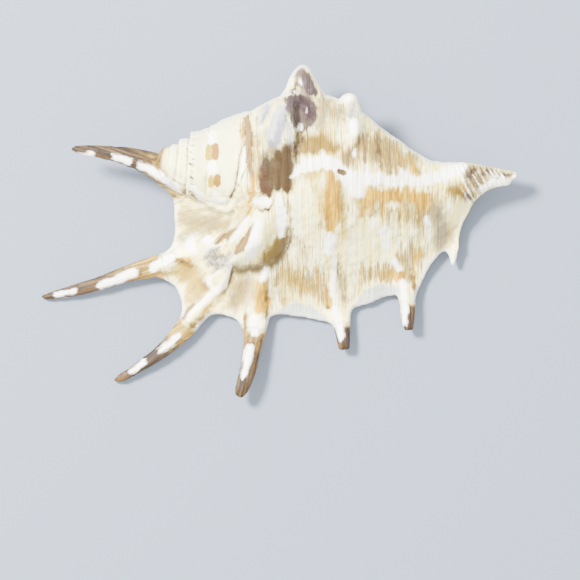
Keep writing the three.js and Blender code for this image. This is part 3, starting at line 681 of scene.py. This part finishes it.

# ---------------------------------------------------------------------------------------
# Finish of the shell: cream ground with golden streaks, the pigments above it, white
# enamel where it has thickened, and a smooth peach glaze underneath. Shade in the grooves,
# creases and on the hump is painted in. Threads too fine for the mesh are bump.
# ---------------------------------------------------------------------------------------
finish = bpy.data.materials.new("weathered_shell_with_painted_shade")
finish.use_nodes = True
tree_nodes, wires = finish.node_tree.nodes, finish.node_tree.links
surface = tree_nodes["Principled BSDF"]


def reading(name, vector=False):
    """A value that the skin keeps."""
    node = tree_nodes.new("ShaderNodeAttribute")
    node.attribute_name = name
    return node.outputs["Vector" if vector else "Fac"]


def stretched(source, x, y, z):
    """A place scaled each way, so that noise read there is drawn out."""
    node = tree_nodes.new("ShaderNodeMapping")
    node.inputs["Scale"].default_value = (x, y, z)
    wires.new(source, node.inputs["Vector"])
    return node.outputs["Vector"]


def noise(source, detail=3, rough=0.5):
    """Smooth noise about 0.5, one lump to each unit of the source."""
    node = tree_nodes.new("ShaderNodeTexNoise")
    node.inputs["Scale"].default_value = 1
    node.inputs["Detail"].default_value = detail
    node.inputs["Roughness"].default_value = rough
    wires.new(source, node.inputs["Vector"])
    return node.outputs["Fac"]


def between(value, low, high, to_low=0, to_high=1):
    """An eased step from to_low to to_high, while the value goes from low to high."""
    node = tree_nodes.new("ShaderNodeMapRange")
    node.interpolation_type = "SMOOTHSTEP"
    node.inputs["From Min"].default_value = low
    node.inputs["From Max"].default_value = high
    node.inputs["To Min"].default_value = to_low
    node.inputs["To Max"].default_value = to_high
    wires.new(value, node.inputs["Value"])
    return node.outputs["Result"]


def counted(kind, a, b):
    """A sum, difference or product of two values or sockets."""
    node = tree_nodes.new("ShaderNodeMath")
    node.operation = kind
    for socket, value in zip(node.inputs, (a, b)):
        if hasattr(value, "is_output"):
            wires.new(value, socket)
        else:
            socket.default_value = value
    return node.outputs["Value"]


def mixed(amount, under_colour, over_colour):
    """One colour over another, by the given amount."""
    node = tree_nodes.new("ShaderNodeMix")
    node.data_type = "RGBA"
    wires.new(amount, node.inputs["Factor"])
    # Inputs 6 and 7 and output 2 are the node's colours; its other sockets hold numbers.
    for socket, colour in ((node.inputs[6], under_colour), (node.inputs[7], over_colour)):
        if hasattr(colour, "is_output"):
            wires.new(colour, socket)
        else:
            socket.default_value = (*colour, 1)
    return node.outputs[2]


# Streaks are long along the threads and narrow across them; mottle and patches are round.
along = reading("grain", vector=True)
where = tree_nodes.new("ShaderNodeTexCoord").outputs["Object"]
hair_streak = noise(stretched(along, 3.2, 0.12, 0.12), detail=3, rough=0.6)
fine_streak = noise(stretched(along, 1.25, 0.07, 0.07), detail=4, rough=0.6)
broad_streak = noise(stretched(along, 0.42, 0.05, 0.05), detail=3, rough=0.5)
mottle = noise(stretched(where, 420, 420, 420), detail=4, rough=0.6)
patches = noise(stretched(where, 110, 110, 110), detail=3, rough=0.55)
fringe = noise(stretched(along, 1.9, 0.22, 0.22), detail=3, rough=0.6)


def laid(ground, marking, colour, soft, drag, strength=1.0, patchy=0.0):
    """One marking over the ground, its colour fading over twice the soft width at the edge.

    Threads drag the edge to and fro, and break up the body where it is patchy.
    """
    shifted = counted("MULTIPLY", counted("SUBTRACT", fringe, 0.5), drag)
    crumbled = counted("MULTIPLY", counted("SUBTRACT", mottle, 0.5), 1.6)
    depth = counted("ADD", counted("ADD", reading(marking), shifted), crumbled)
    amount = between(depth, -soft, soft, 0, strength)
    if patchy:
        amount = counted("MULTIPLY", amount, between(fine_streak, 0.38, 0.58, 1, 1 - patchy))
    return mixed(amount, ground, colour)


CREAM = (0.94, 0.80, 0.26)
PALE_CREAM = (0.98, 0.94, 0.52)
BEIGE = (0.21, 0.15, 0.045)
SPIRE_CREAM = (0.70, 0.70, 0.34)
PALE_GOLD = (0.42, 0.275, 0.012)
GOLD = (0.37, 0.235, 0.026)
TAN = (0.205, 0.123, 0.022)
ORANGE = (0.54, 0.30, 0.005)
DEEP_ORANGE = (0.27, 0.135, 0.003)
OCHRE_AND_FLANK_SHADE = (0.15, 0.088, 0.004)
BAY = (0.115, 0.054, 0.006)
MAUVE = (0.080, 0.051, 0.044)
PALE_EDGE_AND_HIGHLIGHT = (0.40, 0.42, 0.39)
HONEY = (0.32, 0.21, 0.012)
AMBER = (0.19, 0.092, 0.006)
SHADE_AND_SPECK_BROWN = (0.080, 0.047, 0.015)
UMBER = (0.024, 0.012, 0.002)
PALE_UMBER = (0.040, 0.024, 0.007)
RUSSET = (0.030, 0.011, 0.002)
PURPLE = (0.031, 0.014, 0.016)
DULL_PURPLE = (0.048, 0.032, 0.032)
LILAC = (0.145, 0.147, 0.160)
PALE_LILAC = (0.27, 0.275, 0.295)
GREY = (0.145, 0.122, 0.083)
WHITE = (0.98, 0.95, 0.82)
GROOVE_SHADE = (0.12, 0.07, 0.03)
CREASE_SHADE = (0.045, 0.025, 0.012)
WORN_GREY = (0.24, 0.22, 0.20)
WORN_DARK = (0.050, 0.042, 0.042)
ROOT_GOLD = (0.36, 0.23, 0.030)
ROOT_TAN = (0.14, 0.078, 0.012)
TIP_BROWN = (0.075, 0.040, 0.010)
TIP_DARK = (0.017, 0.010, 0.005)
BLOTCH = (0.02, 0.011, 0.006)
LIP_GLAZE = (0.62, 0.62, 0.56)
PALE_PEACH = (0.88, 0.78, 0.62)
DEEP_PEACH = (0.72, 0.40, 0.20)

ground = mixed(between(broad_streak, 0.38, 0.62), PALE_CREAM, CREAM)
ground = mixed(between(patches, 0.46, 0.64, 0, 0.35), ground, PALE_GOLD)
ground = laid(ground, "beige", BEIGE, soft=2.2, drag=1.6, strength=0.85)
ground = laid(ground, "grey", GREY, soft=1.6, drag=1.6, strength=0.75, patchy=0.3)
ground = laid(ground, "gold", PALE_GOLD, soft=1.5, drag=2.0, strength=0.95, patchy=0.2)
# Streaks run along the threads, closer together where the shell is tan.
tanned = between(reading("tan"), -3, 2.5, 0, 0.13)
bleached = between(reading("pale"), -1.8, 1, 0, 0.32)
show = counted("SUBTRACT", 1, reading("unstreaked"))
streaked = counted("SUBTRACT", counted("ADD", fine_streak, tanned), bleached)
ground = mixed(counted("MULTIPLY", between(streaked, 0.52, 0.70, 0, 0.75), show), ground, GOLD)
combed = counted("SUBTRACT", counted("ADD", hair_streak, tanned), bleached)
ground = mixed(counted("MULTIPLY", between(combed, 0.54, 0.63, 0, 0.8), show), ground, TAN)
ground = mixed(between(reading("spire"), 0.2, 1, 0, 0.75), ground, SPIRE_CREAM)
# Grooves are darkened with painted shade, and raised places are made paler.
ground = mixed(between(reading("standing"), -0.02, -0.16, 0, 0.55), ground, GROOVE_SHADE)
ground = mixed(between(reading("standing"), 0.05, 0.22, 0, 0.3), ground, PALE_CREAM)
# The pigments, each over the one before.
ground = laid(ground, "ochre_and_flank_shade", OCHRE_AND_FLANK_SHADE, soft=1.1, drag=1.2)
ground = laid(ground, "bay", BAY, soft=0.5, drag=1.2, strength=1, patchy=0.1)
orange_body = mixed(between(fine_streak, 0.42, 0.6), ORANGE, DEEP_ORANGE)
ground = laid(ground, "orange", orange_body, soft=0.8, drag=1.5)
ground = laid(ground, "honey", HONEY, soft=0.25, drag=0.4)
ground = laid(ground, "amber", AMBER, soft=0.25, drag=0.4)
lilac_body = mixed(between(patches, 0.42, 0.58), LILAC, PALE_LILAC)
ground = laid(ground, "lilac", lilac_body, soft=1.3, drag=1.2)
# Soft brown: painted shade on and below the hump, and the shell's own brown elsewhere.
ground = laid(ground, "painted_shade_and_brown", SHADE_AND_SPECK_BROWN, soft=1.5, drag=1.2, strength=0.9)
umber_body = mixed(between(broad_streak, 0.40, 0.60), UMBER, PALE_UMBER)
ground = laid(ground, "umber", umber_body, soft=0.9, drag=0.9)
ground = laid(ground, "russet", RUSSET, soft=0.6, drag=0.8)
ground = laid(ground, "mauve", MAUVE, soft=1.2, drag=0.9, strength=0.95)
purple_body = mixed(between(mottle, 0.45, 0.62), PURPLE, DULL_PURPLE)
ground = laid(ground, "purple", purple_body, soft=0.5, drag=0.8, strength=0.95)
# The digits: streaked gold at the root and dark brown towards the tip, with darker blotches.
near_tip = counted("ADD", reading("tipward"), counted("MULTIPLY", mottle, 0.3))
digit_root = mixed(between(fine_streak, 0.40, 0.58), ROOT_GOLD, ROOT_TAN)
digit_tip = mixed(between(fine_streak, 0.36, 0.60), TIP_BROWN, TIP_DARK)
digit_brown = mixed(between(near_tip, 0.40, 0.72), digit_root, digit_tip)
digit_brown = mixed(between(mottle, 0.52, 0.68, 0, 0.6), digit_brown, BLOTCH)
ground = mixed(between(reading("free"), 0.0, 0.5), ground, digit_brown)
# White enamel, pale edges and a painted highlight on the dorsal knob lie over the pigments,
# and painted shade in the creases and wear over everything.
ground = laid(ground, "pale_edge_and_highlight", PALE_EDGE_AND_HIGHLIGHT, soft=0.8, drag=0.6, strength=0.95)
ground = laid(ground, "white", WHITE, soft=0.6, drag=1.5)
ground = laid(ground, "specks", SHADE_AND_SPECK_BROWN, soft=0.2, drag=0.3)
ground = laid(ground, "canal", WHITE, soft=0.25, drag=0.3, strength=0.95)
ground = laid(ground, "line", CREASE_SHADE, soft=0.25, drag=0.5, strength=0.85)
speckle = mixed(between(mottle, 0.44, 0.58), WORN_GREY, WORN_DARK)
ground = mixed(between(reading("worn"), -1.2, 0.8, 0, 0.9), ground, speckle)
# The glazed rim of the lip, then the glaze of the underside.
glazed_rim = between(counted("ADD", reading("rim"), mottle), 0.7, 1.9, 0.75, 0)
glazed_rim = counted("MULTIPLY", glazed_rim, between(reading("free"), 0.05, 0.3, 1, 0))
ground = mixed(glazed_rim, ground, LIP_GLAZE)
underneath = between(reading("under"), 0.35, 0.75)
glaze = mixed(between(reading("rim"), 2, 16), PALE_PEACH, DEEP_PEACH)
ground = mixed(underneath, ground, glaze)
wires.new(ground, surface.inputs["Base Color"])

# The back is dull, more so between the streaks, and the glaze underneath is smooth.
GLAZE_ROUGHNESS = 0.18
dull = between(fine_streak, 0.3, 0.7, 0.36, 0.6)
roughness = mixed(underneath, dull, (GLAZE_ROUGHNESS,) * 3)
wires.new(roughness, surface.inputs["Roughness"])
surface.inputs["Specular IOR Level"].default_value = 0.22

threads = noise(stretched(along, 1.6, 0.06, 0.06), detail=4, rough=0.7)
grit = noise(stretched(where, 1500, 1500, 1500), detail=3, rough=0.6)
height = counted("ADD", counted("MULTIPLY", threads, 0.8), counted("MULTIPLY", grit, 0.25))
height = counted("MULTIPLY", height, between(reading("under"), 0.2, 0.7, 1, 0.05))
bump = tree_nodes.new("ShaderNodeBump")
bump.inputs["Strength"].default_value = 0.9
bump.inputs["Distance"].default_value = 0.8 * MM
wires.new(height, bump.inputs["Height"])
wires.new(bump.outputs["Normal"], surface.inputs["Normal"])
shell.data.materials.append(finish)

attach(shell, "root")
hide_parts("shell")

# ---------------------------------------------------------------------------------------
# The floor, a plain sheet of grey paper a few metres wide that the shell lies on. It is a
# hair lower than the shell's flat, so that the two never share a plane.
# ---------------------------------------------------------------------------------------
FLOOR_WIDTH = 3
FLOOR_DROP = 0.2 * MM
PAPER_GREY = (0.125, 0.148, 0.19, 1)
bpy.ops.object.select_all(action="DESELECT")
bpy.ops.mesh.primitive_plane_add(size=FLOOR_WIDTH, location=(0, 0, -FLOOR_DROP))
floor = bpy.context.object
floor.name = "floor"
paper = bpy.data.materials.new("grey_paper")
paper.use_nodes = True
paper_surface = paper.node_tree.nodes["Principled BSDF"]
paper_surface.inputs["Base Color"].default_value = PAPER_GREY
paper_surface.inputs["Roughness"].default_value = 0.85
floor.data.materials.append(paper)

# ---------------------------------------------------------------------------------------
# Light and camera: one soft lamp high on the spire's side, an even fill from all round,
# and a camera straight above with a long lens. Places are in metres.
# ---------------------------------------------------------------------------------------
FILL_STRENGTH = 4.0
FILL_COLOUR = (1, 0.99, 0.97, 1)
LAMP_PLACE = (-0.52, 0.37, 0.87)
LAMP_WIDTH = 0.22
LAMP_POWER = 97
CAMERA_HEIGHT = 1.5
VIEW_X, VIEW_Y = 0.0036, -0.0182
VIEW_WIDTH = 0.1833
SENSOR_WIDTH = 36

world = bpy.data.worlds.new("studio")
world.use_nodes = True
fill = world.node_tree.nodes["Background"]
fill.inputs["Color"].default_value = FILL_COLOUR
fill.inputs["Strength"].default_value = FILL_STRENGTH
bpy.context.scene.world = world

bpy.ops.object.light_add(type="AREA", location=LAMP_PLACE)
key = bpy.context.object
key.data.size = LAMP_WIDTH
key.data.energy = LAMP_POWER
key.rotation_euler = (-key.location).to_track_quat("-Z", "Y").to_euler()

bpy.ops.object.camera_add(location=(VIEW_X, VIEW_Y, CAMERA_HEIGHT))
camera = bpy.context.object
camera.data.sensor_width = SENSOR_WIDTH
camera.data.lens = SENSOR_WIDTH * CAMERA_HEIGHT / VIEW_WIDTH
bpy.context.scene.camera = camera

bpy.context.view_layer.update()
